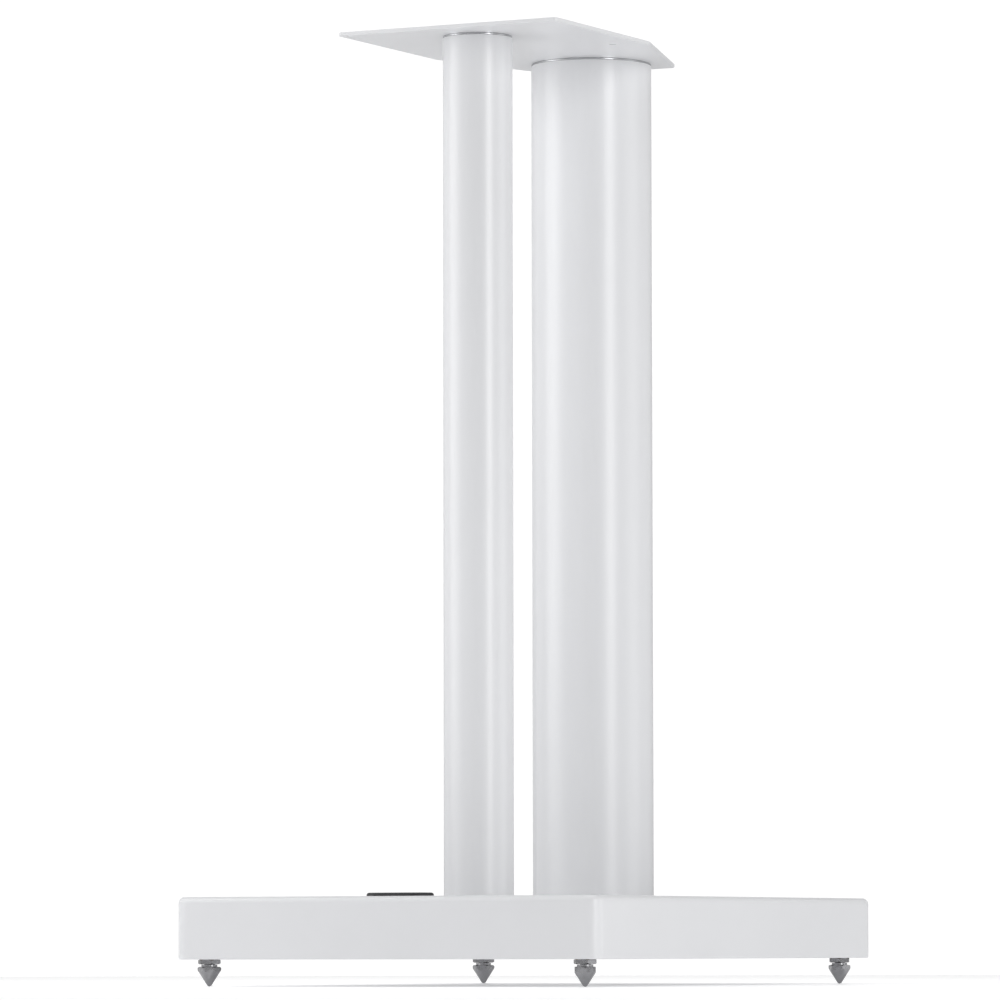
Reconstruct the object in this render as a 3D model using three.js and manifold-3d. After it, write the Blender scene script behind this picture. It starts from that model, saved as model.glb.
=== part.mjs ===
// A floor stand for a stand-mount loudspeaker: a thick lacquered plinth on four screw-in spikes, a large and
// a small steel column bolted up from under it, and a thin top plate screwed down onto both columns.
//
// Millimetres, +Z up. The origin is on the floor under the middle of the plinth. The large column stands
// towards the front (-Y), the small column and the cable grommet towards the rear (+Y), and the stand's left,
// seen from in front of it, is -X.

import * as THREE from "three";
import { mergeVertices } from "three/addons/utils/BufferGeometryUtils.js";
import Module from "manifold-3d";

// ---- Driving dimensions ------------------------------------------------------------------------------

// Gaps between neighbouring pieces.
const SEAT_GAP = 0.2; // between faces that rest on each other
const FIT_GAP = 0.2; // round a piece that sits in a hole or a bore
const THREAD_GAP = 0.1; // round a thread that runs in its mate
const COUNTERBORE_GAP = 1; // round a washer in its counterbore

// Working values of the solid modelling.
const CUTTER_OVERSHOOT = 1; // how far a cutting tool runs past the face that it opens
const WELD_DISTANCE = 1e-4; // vertices closer than this are one

// Plinth.
const PLINTH_WIDTH = 301;
const PLINTH_DEPTH = 408;
const PLINTH_THICKNESS = 39.5;
const PLINTH_CORNER_RADIUS = 10;
const PLINTH_ROUNDOVER = 4; // round edge all the way round the top
const PLINTH_ARRIS = 0.8; // small round edge along the bottom

// Screw-in feet. The thread, the nut and the spike's collar are all M8 sizes.
const FOOT_INSET = 17; // from the plinth's sides to a foot's axis
const THREAD_DIAMETER = 8;
const HEX_WALL = 2.5; // from the thread out to a flat
const HEX_CHAMFER_ANGLE = 30;
const NUT_THICKNESS = 2.8;
const NECK_HEIGHT = 1.4; // plain shoulder between the spike's collar and the nut
const NECK_WALL = 1;
const COLLAR_CORNER_LENGTH = 1.6; // straight length of the collar's six corners, above the cone
const CONE_HALF_ANGLE = 32.5;
const TIP_RADIUS = 1.8;
const TIP_STEPS = 3;
const SOCKET_DEPTH = 5.8; // how far the stud screws into the head
const STUD_LENGTH = 30;
const INSERT_WALL = 2.5;
const INSERT_LENGTH = 18;
const INSERT_HOLE_DEPTH = 26;

// Columns.
const COLUMN_SPACING = 162.5; // from axis to axis
const COLUMNS_MIDDLE_Y = -7.75; // halfway between the two axes
const COLUMN_HEIGHT = 554.5; // from the plinth to the top plate
const RING_HEIGHT = 1.1;
const RING_RECESS = 0.2; // how far the ring stands back from the tube's face
const RING_WIDTH = 3;
const TOP_PLUG_THICKNESS = 10;
const BOTTOM_PLUG_THICKNESS = 16;
const LARGE_TUBE_DIAMETER = 80;
const LARGE_TUBE_WALL = 2.5;
const SMALL_TUBE_DIAMETER = 45;
const SMALL_TUBE_WALL = 2;

// Screws that pull the columns down, in counterbores under the plinth.
const COUNTERBORE_DEPTH = 18;
const WASHER_THICKNESS = 1.6;
const BOLT_ENGAGEMENT = 12; // thread inside the bottom plug
const BOLT_SOCKET_DEPTH = 3;
const LARGE_BOLT = {
  diameter: 8,
  headDiameter: 13,
  headHeight: 8,
  socketFlats: 6,
  washerDiameter: 18,
  edge: 12.5, // from the tube's bore to the screw's axis
  count: 3,
};
const SMALL_BOLT = {
  diameter: 6,
  headDiameter: 10,
  headHeight: 6,
  socketFlats: 5,
  washerDiameter: 12,
  edge: 9.5,
  count: 2,
};

// Top plate.
const PLATE_THICKNESS = 2.5;
const PLATE_REAR_WIDTH = 158;
const PLATE_FRONT_WIDTH = 84;
const PLATE_STRAIGHT_LENGTH = 134; // straight sides, from the rear edge to where the taper starts
const PLATE_REAR_MARGIN = 21; // beyond the small tube
const PLATE_FRONT_MARGIN = 1; // beyond the large tube
const PLATE_CORNER_RADIUS = 2;
const SPEAKER_HOLE_DIAMETER = 5;
const SPEAKER_HOLE_SPACING = 119;
const SPEAKER_HOLE_SETBACK = 15; // from where the taper starts to the holes
const PLATE_SCREW_DIAMETER = 5;
const PLATE_SCREW_HEAD_DIAMETER = 9.6;
const PLATE_SCREW_HEAD_EDGE = 0.2; // straight rim of the countersunk head
const PLATE_SCREW_LENGTH = 13;
const PLATE_SCREW_SOCKET_FLATS = 3;
const PLATE_SCREW_SOCKET_DEPTH = 2;

// Speaker pads.
const PAD_DIAMETER = 16;
const PAD_THICKNESS = 1;
const PAD_CHAMFER = 0.25;
const PAD_INSET = 17; // from the plate's edges to a pad's middle

// Cable grommet.
const GROMMET_WIDTH = 45;
const GROMMET_DEPTH = 22;
const GROMMET_HEIGHT = 2.2; // above the plinth
const GROMMET_ROUNDING = 1.6;
const GROMMET_INSET = 24.5; // from the plinth's rear edge to the grommet's middle
const GROMMET_FLANGE = 4; // how far the flange laps over the slot
const GROMMET_SLEEVE_LENGTH = 14; // inside the slot
const GROMMET_SLEEVE_WALL = 3;

// Facets of round pieces.
const TUBE_SEGMENTS = 48;
const SMALL_SEGMENTS = 16;
const CORNER_STEPS = 5;
const EDGE_STEPS = 3;

// ---- Levels and places worked out from them ----------------------------------------------------------

const HEX_ACROSS_FLATS = THREAD_DIAMETER + 2 * HEX_WALL;
const HEX_FACE_RADIUS = HEX_ACROSS_FLATS / 2;
const HEX_CORNER_RADIUS = HEX_ACROSS_FLATS / Math.sqrt(3);
const HEX_CHAMFER =
  (HEX_CORNER_RADIUS - HEX_FACE_RADIUS) * Math.tan(THREE.MathUtils.degToRad(HEX_CHAMFER_ANGLE));
const CONE_SLOPE = THREE.MathUtils.degToRad(CONE_HALF_ANGLE); // from the spike's axis
const TIP_EDGE_RADIUS = TIP_RADIUS * Math.cos(CONE_SLOPE);
const TIP_EDGE_HEIGHT = TIP_RADIUS * (1 - Math.sin(CONE_SLOPE));
const CONE_TOP = TIP_EDGE_HEIGHT + (HEX_CORNER_RADIUS - TIP_EDGE_RADIUS) / Math.tan(CONE_SLOPE);
const HEAD_HEIGHT = CONE_TOP + COLLAR_CORNER_LENGTH + HEX_CHAMFER; // from the tip to the top of the collar

const PLINTH_BOTTOM = HEAD_HEIGHT + NECK_HEIGHT + NUT_THICKNESS + 2 * SEAT_GAP;
const PLINTH_TOP = PLINTH_BOTTOM + PLINTH_THICKNESS;
const PLATE_BOTTOM = PLINTH_TOP + COLUMN_HEIGHT;
const PLATE_TOP = PLATE_BOTTOM + PLATE_THICKNESS;
const TUBE_BOTTOM = PLINTH_TOP + SEAT_GAP;
const RING_BOTTOM = PLATE_BOTTOM - SEAT_GAP - RING_HEIGHT;
const TUBE_TOP = RING_BOTTOM - SEAT_GAP;

const THREAD_RADIUS = THREAD_DIAMETER / 2;
const NECK_RADIUS = THREAD_RADIUS + THREAD_GAP + NECK_WALL;
const LARGE_COLUMN = {
  name: "large",
  y: COLUMNS_MIDDLE_Y - COLUMN_SPACING / 2,
  radius: LARGE_TUBE_DIAMETER / 2,
  wall: LARGE_TUBE_WALL,
  bolt: LARGE_BOLT,
  firstBoltAngle: -Math.PI / 2,
};
const SMALL_COLUMN = {
  name: "small",
  y: COLUMNS_MIDDLE_Y + COLUMN_SPACING / 2,
  radius: SMALL_TUBE_DIAMETER / 2,
  wall: SMALL_TUBE_WALL,
  bolt: SMALL_BOLT,
  firstBoltAngle: 0,
};
const COLUMNS = [LARGE_COLUMN, SMALL_COLUMN];
const PLATE_REAR = SMALL_COLUMN.y + SMALL_COLUMN.radius + PLATE_REAR_MARGIN;
const PLATE_FRONT = LARGE_COLUMN.y - LARGE_COLUMN.radius - PLATE_FRONT_MARGIN;
const PLATE_SHOULDER = PLATE_REAR - PLATE_STRAIGHT_LENGTH;
const GROMMET_Y = PLINTH_DEPTH / 2 - GROMMET_INSET;

// Each foot's place, and the angles in degrees at which its hex head and its nut happened to stop.
const FEET = [
  { name: "rear_left", side: -1, end: 1, headTurn: 58, nutTurn: 8 },
  { name: "rear_right", side: 1, end: 1, headTurn: 27, nutTurn: 12 },
  { name: "front_left", side: -1, end: -1, headTurn: 10, nutTurn: 53 },
  { name: "front_right", side: 1, end: -1, headTurn: 17, nutTurn: 15 },
].map((foot) => ({
  ...foot,
  x: foot.side * (PLINTH_WIDTH / 2 - FOOT_INSET),
  y: foot.end * (PLINTH_DEPTH / 2 - FOOT_INSET),
}));

// ---- Solids: cutting, joining, turning and skinning --------------------------------------------------

const wasm = await Module();
wasm.setup();

function solidOf(geometry) {
  const bare = geometry.clone();
  bare.deleteAttribute("normal");
  bare.deleteAttribute("uv");
  const merged = mergeVertices(bare, WELD_DISTANCE);
  return new wasm.Manifold(
    new wasm.Mesh({
      numProp: 3,
      vertProperties: merged.attributes.position.array,
      triVerts: new Uint32Array(merged.index.array),
    }),
  );
}

function geometryOf(solid) {
  const mesh = solid.getMesh();
  const geometry = new THREE.BufferGeometry();
  geometry.setAttribute("position", new THREE.BufferAttribute(mesh.vertProperties, 3));
  geometry.setIndex(new THREE.BufferAttribute(mesh.triVerts, 1));
  geometry.computeVertexNormals();
  return geometry;
}

// The body with every tool cut away from it.
function cut(body, tools) {
  return geometryOf(tools.reduce((left, tool) => left.subtract(solidOf(tool)), solidOf(body)));
}

// What two solids have in common.
function common(a, b) {
  return geometryOf(solidOf(a).intersect(solidOf(b)));
}

// A solid of revolution about Z. The profile's [radius, height] points run anticlockwise, with the axis on
// their left: from the axis out and back to it, or round in a ring.
function turned(profile, segments = SMALL_SEGMENTS) {
  const points = profile.map(([radius, height]) => new THREE.Vector2(radius, height));
  return new THREE.LatheGeometry(points, segments).rotateX(Math.PI / 2);
}

function disc(radius, bottom, top, segments = SMALL_SEGMENTS) {
  return turned([[0, bottom], [radius, bottom], [radius, top], [0, top]], segments);
}

function ring(inner, outer, bottom, top, segments = SMALL_SEGMENTS) {
  const profile = [[inner, bottom], [outer, bottom], [outer, top], [inner, top], [inner, bottom]];
  return turned(profile, segments);
}

// An anticlockwise convex outline with each of its corners rounded to one radius.
function roundedOutline(corners, radius) {
  const points = [];
  corners.forEach((corner, i) => {
    const before = corners[(i + corners.length - 1) % corners.length].clone().sub(corner).normalize();
    const after = corners[(i + 1) % corners.length].clone().sub(corner).normalize();
    const halfAngle = Math.acos(before.dot(after)) / 2;
    const bisector = before.clone().add(after).normalize();
    const centre = corner.clone().addScaledVector(bisector, radius / Math.sin(halfAngle));
    const arcStart = corner.clone().addScaledVector(before, radius / Math.tan(halfAngle)).sub(centre);
    const sweep = Math.PI - 2 * halfAngle;
    for (let step = 0; step <= CORNER_STEPS; step++) {
      const turn = (sweep * step) / CORNER_STEPS;
      points.push(arcStart.clone().rotateAround(new THREE.Vector2(), turn).add(centre));
    }
  });
  return points;
}

function rectangle(width, depth, radius) {
  const [x, y] = [width / 2, depth / 2];
  const corners = [[-x, -y], [x, -y], [x, y], [-x, y]].map(([cx, cy]) => new THREE.Vector2(cx, cy));
  return roundedOutline(corners, radius);
}

// A rectangle with round ends. A short flat stays on each end, so that no two of its points meet.
function oblong(width, depth) {
  const endFlat = 0.02;
  return rectangle(width, depth, (depth - endFlat) / 2);
}

// A closed solid skinned through level outlines that all have the same number of points.
function skinned(levels) {
  const count = levels[0].outline.length;
  const positions = levels.flatMap(({ outline, z }) => outline.flatMap((point) => [point.x, point.y, z]));
  const triangles = [];
  for (let level = 0; level < levels.length - 1; level++) {
    for (let i = 0; i < count; i++) {
      const a = level * count + i;
      const b = level * count + ((i + 1) % count);
      triangles.push(a, b, b + count, a, b + count, a + count);
    }
  }
  const top = (levels.length - 1) * count;
  for (const [a, b, c] of THREE.ShapeUtils.triangulateShape(levels[0].outline, [])) {
    triangles.push(c, b, a, top + a, top + b, top + c);
  }
  const geometry = new THREE.BufferGeometry();
  geometry.setAttribute("position", new THREE.Float32BufferAttribute(positions, 3));
  geometry.setIndex(triangles);
  return geometry;
}

function slab(outline, bottom, top) {
  return skinned([{ outline, z: bottom }, { outline, z: top }]);
}

// How a round edge of one radius steps in from a face, and how high each step stands above its start.
function roundEdgeSteps(radius) {
  return Array.from({ length: EDGE_STEPS + 1 }, (_, step) => {
    const angle = (Math.PI / 2) * (step / EDGE_STEPS);
    return { inset: radius * (1 - Math.cos(angle)), rise: radius * Math.sin(angle) };
  });
}

// A straight hexagonal bar about Z, with a corner on the X axis.
function hexBar(acrossFlats, bottom, top) {
  return disc(acrossFlats / Math.sqrt(3), bottom, top, 6).rotateZ(-Math.PI / 2);
}

// ---- Finishes ----------------------------------------------------------------------------------------

const finish = (color, roughness, metalness) => () =>
  new THREE.MeshStandardMaterial({ color, roughness, metalness });
const whiteLacquer = finish(0xe8eaec, 0.35, 0);
const whitePowderCoat = finish(0xe4e6e9, 0.45, 0);
const polishedMetal = finish(0xb9bbbe, 0.12, 1);
const plainSteel = finish(0x8d8f93, 0.35, 1);
const zincSteel = finish(0x9fa2a8, 0.4, 1);
const brass = finish(0xb5954f, 0.35, 1);
const blackRubber = finish(0x17181b, 0.8, 0);

const stand = new THREE.Group();

function addPiece(parent, name, geometry, material) {
  const mesh = new THREE.Mesh(geometry, material());
  mesh.name = name;
  parent.add(mesh);
  return mesh;
}

// ---- Plinth ------------------------------------------------------------------------------------------

function plinthBlank() {
  const outlineAt = (inset) =>
    rectangle(PLINTH_WIDTH - 2 * inset, PLINTH_DEPTH - 2 * inset, PLINTH_CORNER_RADIUS - inset);
  const arris = roundEdgeSteps(PLINTH_ARRIS).reverse();
  const roundover = roundEdgeSteps(PLINTH_ROUNDOVER);
  return skinned([
    ...arris.map(({ inset, rise }) => ({
      outline: outlineAt(inset),
      z: PLINTH_BOTTOM + PLINTH_ARRIS - rise,
    })),
    ...roundover.map(({ inset, rise }) => ({
      outline: outlineAt(inset),
      z: PLINTH_TOP - PLINTH_ROUNDOVER + rise,
    })),
  ]);
}

// Where a column's screws stand, on a circle that keeps them clear of the tube's wall.
function boltPlaces(column) {
  const { edge, count } = column.bolt;
  const circle = column.radius - column.wall - edge;
  return Array.from({ length: count }, (_, i) => {
    const angle = column.firstBoltAngle + (2 * Math.PI * i) / count;
    return new THREE.Vector3(circle * Math.cos(angle), column.y + circle * Math.sin(angle), 0);
  });
}

const at = (geometry, { x, y }) => geometry.translate(x, y, 0);

function grommetSlot(gap) {
  const width = GROMMET_WIDTH - 2 * GROMMET_FLANGE + 2 * gap;
  const depth = GROMMET_DEPTH - 2 * GROMMET_FLANGE + 2 * gap;
  return oblong(width, depth);
}

function basePlinth() {
  const below = PLINTH_BOTTOM - CUTTER_OVERSHOOT;
  const above = PLINTH_TOP + CUTTER_OVERSHOOT;
  const counterboreTop = PLINTH_BOTTOM + COUNTERBORE_DEPTH;
  const insertHole = () =>
    disc(THREAD_RADIUS + INSERT_WALL + FIT_GAP, below, PLINTH_BOTTOM + INSERT_HOLE_DEPTH);
  const boltHoles = COLUMNS.flatMap((column) => {
    const { diameter, washerDiameter } = column.bolt;
    return boltPlaces(column).flatMap((place) => [
      at(disc(diameter / 2 + FIT_GAP, below, above), place),
      at(disc(washerDiameter / 2 + COUNTERBORE_GAP, below, counterboreTop), place),
    ]);
  });
  const cableSlot = slab(grommetSlot(FIT_GAP), below, above).translate(0, GROMMET_Y, 0);
  return cut(plinthBlank(), [...FEET.map((foot) => at(insertHole(), foot)), ...boltHoles, cableSlot]);
}

addPiece(stand, "base_plinth", basePlinth(), whiteLacquer);

// ---- Cable grommet -----------------------------------------------------------------------------------

// A flange on the plinth with a rounded rim, and a sleeve that lines the top of the slot.
function cableGrommet() {
  const flangeBottom = PLINTH_TOP + SEAT_GAP;
  const rimStart = PLINTH_TOP + GROMMET_HEIGHT - GROMMET_ROUNDING;
  const outlineAt = (inset) => oblong(GROMMET_WIDTH - 2 * inset, GROMMET_DEPTH - 2 * inset);
  const flange = skinned([
    { outline: outlineAt(0), z: flangeBottom },
    ...roundEdgeSteps(GROMMET_ROUNDING).map(({ inset, rise }) => ({
      outline: outlineAt(inset),
      z: rimStart + rise,
    })),
  ]);
  const sleeveBottom = PLINTH_TOP - GROMMET_SLEEVE_LENGTH;
  const sleeve = slab(grommetSlot(0), sleeveBottom, rimStart);
  const cableWay = slab(
    grommetSlot(-GROMMET_SLEEVE_WALL),
    sleeveBottom - CUTTER_OVERSHOOT,
    PLINTH_TOP + GROMMET_HEIGHT + CUTTER_OVERSHOOT,
  );
  return geometryOf(solidOf(flange).add(solidOf(sleeve)).subtract(solidOf(cableWay)));
}

addPiece(stand, "cable_grommet", cableGrommet(), blackRubber).position.y = GROMMET_Y;

// ---- Feet --------------------------------------------------------------------------------------------

// A hex nut with both its faces chamfered at the corners, bored clear of the thread.
function lockNut() {
  const top = PLINTH_BOTTOM - SEAT_GAP;
  const bottom = top - NUT_THICKNESS;
  const bore = THREAD_RADIUS + THREAD_GAP;
  const blank = turned([
    [bore, bottom],
    [HEX_FACE_RADIUS, bottom],
    [HEX_CORNER_RADIUS, bottom + HEX_CHAMFER],
    [HEX_CORNER_RADIUS, top - HEX_CHAMFER],
    [HEX_FACE_RADIUS, top],
    [bore, top],
    [bore, bottom],
  ]);
  return common(blank, hexBar(HEX_ACROSS_FLATS, bottom, top));
}

// The cone's round tip, from the axis out to where the straight side starts.
function tipPoints() {
  return Array.from({ length: TIP_STEPS + 1 }, (_, step) => {
    const angle = (Math.PI / 2 - CONE_SLOPE) * (step / TIP_STEPS);
    return [TIP_RADIUS * Math.sin(angle), TIP_RADIUS * (1 - Math.cos(angle))];
  });
}

// The spike's head: a hex collar whose flats run out into the cone, a plain neck, and a socket for the stud.
function spikeHead() {
  const neckTop = HEAD_HEIGHT + NECK_HEIGHT;
  const socket = THREAD_RADIUS + THREAD_GAP;
  const blank = turned([
    ...tipPoints(),
    [HEX_CORNER_RADIUS, CONE_TOP],
    [HEX_CORNER_RADIUS, HEAD_HEIGHT - HEX_CHAMFER],
    [HEX_FACE_RADIUS, HEAD_HEIGHT],
    [NECK_RADIUS, HEAD_HEIGHT],
    [NECK_RADIUS, neckTop],
    [socket, neckTop],
    [socket, neckTop - SOCKET_DEPTH],
    [0, neckTop - SOCKET_DEPTH],
  ]);
  return common(blank, hexBar(HEX_ACROSS_FLATS, 0, neckTop));
}

function spikeStud() {
  const bottom = HEAD_HEIGHT + NECK_HEIGHT - SOCKET_DEPTH + SEAT_GAP;
  return disc(THREAD_RADIUS, bottom, bottom + STUD_LENGTH);
}

function spikeInsert() {
  const bore = THREAD_RADIUS + THREAD_GAP;
  return ring(bore, THREAD_RADIUS + INSERT_WALL, PLINTH_BOTTOM, PLINTH_BOTTOM + INSERT_LENGTH);
}

for (const foot of FEET) {
  const group = new THREE.Group();
  group.position.set(foot.x, foot.y, 0);
  addPiece(group, `spike_insert_${foot.name}`, spikeInsert(), brass);
  addPiece(group, `spike_stud_${foot.name}`, spikeStud(), plainSteel);
  const nut = addPiece(group, `lock_nut_${foot.name}`, lockNut(), plainSteel);
  nut.rotation.z = THREE.MathUtils.degToRad(foot.nutTurn);
  const head = addPiece(group, `spike_head_${foot.name}`, spikeHead(), plainSteel);
  head.rotation.z = THREE.MathUtils.degToRad(foot.headTurn);
  stand.add(group);
}

// ---- Columns -----------------------------------------------------------------------------------------

// A plug inside one end of the tube, with a tapped hole for each screw.
function plug(column, holeDiameter, bottom, top) {
  const holes = boltPlaces(column).map((place) =>
    at(disc(holeDiameter / 2 + FIT_GAP, bottom - CUTTER_OVERSHOOT, top + CUTTER_OVERSHOOT), {
      x: place.x,
      y: place.y - column.y,
    }),
  );
  return cut(disc(column.radius - column.wall - FIT_GAP, bottom, top, TUBE_SEGMENTS), holes);
}

for (const column of COLUMNS) {
  const group = new THREE.Group();
  group.position.y = column.y;
  const { name, radius, wall, bolt } = column;
  const tube = ring(radius - wall, radius, TUBE_BOTTOM, TUBE_TOP, TUBE_SEGMENTS);
  const ringOuter = radius - RING_RECESS;
  const trimRing = ring(
    ringOuter - RING_WIDTH,
    ringOuter,
    RING_BOTTOM,
    RING_BOTTOM + RING_HEIGHT,
    TUBE_SEGMENTS,
  );
  const bottomPlug = plug(column, bolt.diameter, TUBE_BOTTOM, TUBE_BOTTOM + BOTTOM_PLUG_THICKNESS);
  const topPlug = plug(column, PLATE_SCREW_DIAMETER, TUBE_TOP - TOP_PLUG_THICKNESS, TUBE_TOP);
  addPiece(group, `${name}_tube`, tube, whitePowderCoat);
  addPiece(group, `${name}_trim_ring`, trimRing, polishedMetal);
  addPiece(group, `${name}_bottom_plug`, bottomPlug, plainSteel);
  addPiece(group, `${name}_top_plug`, topPlug, plainSteel);
  stand.add(group);
}

// ---- Screws and washers under the plinth -------------------------------------------------------------

// A socket-head cap screw standing head down, with a hex socket in the head.
function capScrew({ diameter, headDiameter, headHeight, socketFlats }, seat, shankTop) {
  const shank = diameter / 2;
  const head = headDiameter / 2;
  const headBottom = seat - headHeight;
  const body = turned([
    [0, headBottom],
    [head, headBottom],
    [head, seat],
    [shank, seat],
    [shank, shankTop],
    [0, shankTop],
  ]);
  const socket = hexBar(socketFlats, headBottom - CUTTER_OVERSHOOT, headBottom + BOLT_SOCKET_DEPTH);
  return cut(body, [socket]);
}

for (const column of COLUMNS) {
  const { bolt } = column;
  const washerTop = PLINTH_BOTTOM + COUNTERBORE_DEPTH - SEAT_GAP;
  const washerBottom = washerTop - WASHER_THICKNESS;
  boltPlaces(column).forEach((place, i) => {
    const group = new THREE.Group();
    group.position.copy(place);
    const washer = ring(bolt.diameter / 2 + FIT_GAP, bolt.washerDiameter / 2, washerBottom, washerTop);
    const screw = capScrew(bolt, washerBottom - SEAT_GAP, TUBE_BOTTOM + BOLT_ENGAGEMENT);
    addPiece(group, `bolt_washer_${column.name}_${i + 1}`, washer, zincSteel);
    addPiece(group, `base_bolt_${column.name}_${i + 1}`, screw, zincSteel);
    stand.add(group);
  });
}

// ---- Top plate, its screws and the speaker pads ------------------------------------------------------

// A countersunk screw, or the hole for one: a shank, a 90 degree cone, and a straight head above the cone.
function countersunk(shankRadius, headRadius, bottom, coneTop, top) {
  return turned([
    [0, bottom],
    [shankRadius, bottom],
    [shankRadius, coneTop - (headRadius - shankRadius)],
    [headRadius, coneTop],
    [headRadius, top],
    [0, top],
  ]);
}

function countersink() {
  const shank = PLATE_SCREW_DIAMETER / 2 + FIT_GAP;
  const head = PLATE_SCREW_HEAD_DIAMETER / 2 + FIT_GAP;
  return countersunk(
    shank,
    head,
    PLATE_BOTTOM - CUTTER_OVERSHOOT,
    PLATE_TOP - PLATE_SCREW_HEAD_EDGE,
    PLATE_TOP + CUTTER_OVERSHOOT,
  );
}

function topPlate() {
  const rear = PLATE_REAR_WIDTH / 2;
  const front = PLATE_FRONT_WIDTH / 2;
  const corners = [
    [-front, PLATE_FRONT],
    [front, PLATE_FRONT],
    [rear, PLATE_SHOULDER],
    [rear, PLATE_REAR],
    [-rear, PLATE_REAR],
    [-rear, PLATE_SHOULDER],
  ].map(([x, y]) => new THREE.Vector2(x, y));
  const blank = slab(roundedOutline(corners, PLATE_CORNER_RADIUS), PLATE_BOTTOM, PLATE_TOP);
  const speakerHoles = [-1, 1].map((side) =>
    at(
      disc(SPEAKER_HOLE_DIAMETER / 2, PLATE_BOTTOM - CUTTER_OVERSHOOT, PLATE_TOP + CUTTER_OVERSHOOT),
      { x: (side * SPEAKER_HOLE_SPACING) / 2, y: PLATE_SHOULDER + SPEAKER_HOLE_SETBACK },
    ),
  );
  const countersinks = COLUMNS.flatMap(boltPlaces).map((place) => at(countersink(), place));
  return cut(blank, [...speakerHoles, ...countersinks]);
}

function plateScrew() {
  const headTop = PLATE_TOP - SEAT_GAP;
  const body = countersunk(
    PLATE_SCREW_DIAMETER / 2,
    PLATE_SCREW_HEAD_DIAMETER / 2,
    headTop - PLATE_SCREW_LENGTH,
    headTop - PLATE_SCREW_HEAD_EDGE,
    headTop,
  );
  const socket = hexBar(
    PLATE_SCREW_SOCKET_FLATS,
    headTop - PLATE_SCREW_SOCKET_DEPTH,
    headTop + CUTTER_OVERSHOOT,
  );
  return cut(body, [socket]);
}

addPiece(stand, "top_plate", topPlate(), whitePowderCoat);
for (const column of COLUMNS) {
  boltPlaces(column).forEach((place, i) => {
    const screw = addPiece(stand, `plate_screw_${column.name}_${i + 1}`, plateScrew(), zincSteel);
    screw.position.copy(place);
  });
}

function speakerPad() {
  const radius = PAD_DIAMETER / 2;
  const bottom = PLATE_TOP + SEAT_GAP;
  const top = PLATE_TOP + PAD_THICKNESS;
  return turned([
    [0, bottom],
    [radius, bottom],
    [radius, top - PAD_CHAMFER],
    [radius - PAD_CHAMFER, top],
    [0, top],
  ]);
}

const PADS = [
  { name: "rear_left", x: PAD_INSET - PLATE_REAR_WIDTH / 2, y: PLATE_REAR - PAD_INSET },
  { name: "rear_right", x: PLATE_REAR_WIDTH / 2 - PAD_INSET, y: PLATE_REAR - PAD_INSET },
  { name: "front_left", x: PAD_INSET - PLATE_FRONT_WIDTH / 2, y: PLATE_FRONT + PAD_INSET },
  { name: "front_right", x: PLATE_FRONT_WIDTH / 2 - PAD_INSET, y: PLATE_FRONT + PAD_INSET },
];
for (const { name, x, y } of PADS) {
  addPiece(stand, `speaker_pad_${name}`, speakerPad(), blackRubber).position.set(x, y, 0);
}

export default stand;
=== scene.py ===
"""A white twin-column loudspeaker stand on four screw-in spikes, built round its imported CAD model.

Metres throughout, in the CAD's frame: +Z is up, the origin is on the floor under the middle of the plinth,
the large column stands towards the front (-Y) and the cable grommet is at the rear (+Y).
"""

import math

import bmesh
import bpy
from mathutils import Matrix, Vector


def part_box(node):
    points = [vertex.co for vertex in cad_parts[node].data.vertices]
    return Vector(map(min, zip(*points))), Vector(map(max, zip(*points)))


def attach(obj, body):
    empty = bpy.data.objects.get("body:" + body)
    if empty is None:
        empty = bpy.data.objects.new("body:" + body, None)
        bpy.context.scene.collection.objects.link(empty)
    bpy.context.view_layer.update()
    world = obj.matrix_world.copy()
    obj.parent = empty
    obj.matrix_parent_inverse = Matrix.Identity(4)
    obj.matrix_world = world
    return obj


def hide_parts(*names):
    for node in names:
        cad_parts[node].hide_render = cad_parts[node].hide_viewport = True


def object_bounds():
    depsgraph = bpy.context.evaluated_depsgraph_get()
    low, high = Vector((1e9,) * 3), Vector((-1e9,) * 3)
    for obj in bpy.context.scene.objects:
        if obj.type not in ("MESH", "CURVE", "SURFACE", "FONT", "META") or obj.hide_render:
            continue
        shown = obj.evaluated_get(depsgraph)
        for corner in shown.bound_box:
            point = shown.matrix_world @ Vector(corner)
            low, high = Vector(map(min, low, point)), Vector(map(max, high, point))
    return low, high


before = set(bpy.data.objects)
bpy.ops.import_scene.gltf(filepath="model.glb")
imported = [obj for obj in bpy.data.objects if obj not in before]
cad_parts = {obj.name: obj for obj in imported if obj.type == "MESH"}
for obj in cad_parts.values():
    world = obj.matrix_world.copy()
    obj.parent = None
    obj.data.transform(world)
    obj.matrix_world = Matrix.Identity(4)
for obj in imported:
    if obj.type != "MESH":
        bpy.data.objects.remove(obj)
cad_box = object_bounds()

MM = 0.001
UP = Vector((0, 0, 1))

# ---- Camera ------------------------------------------------------------------------------------------
# A long lens close to the floor, off the stand's rear left corner, tilted up a little at the whole stand.

CAMERA_DISTANCE = 4.4784  # from the stand's middle, along the floor
CAMERA_BEARING = math.radians(27.297)  # round from the rear (+Y) towards the stand's left (-X)
CAMERA_HEIGHT = 0.02416
CAMERA_HEADING = math.radians(207.554)
CAMERA_TILT = math.radians(3.7215)
CAMERA_ROLL = math.radians(-0.099)
CAMERA_LENS_MM = 247.8


def around(bearing, distance, height):
    """A point at this bearing round the stand, counted as the camera's is."""
    return Vector((-distance * math.sin(bearing), distance * math.cos(bearing), height))


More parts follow.
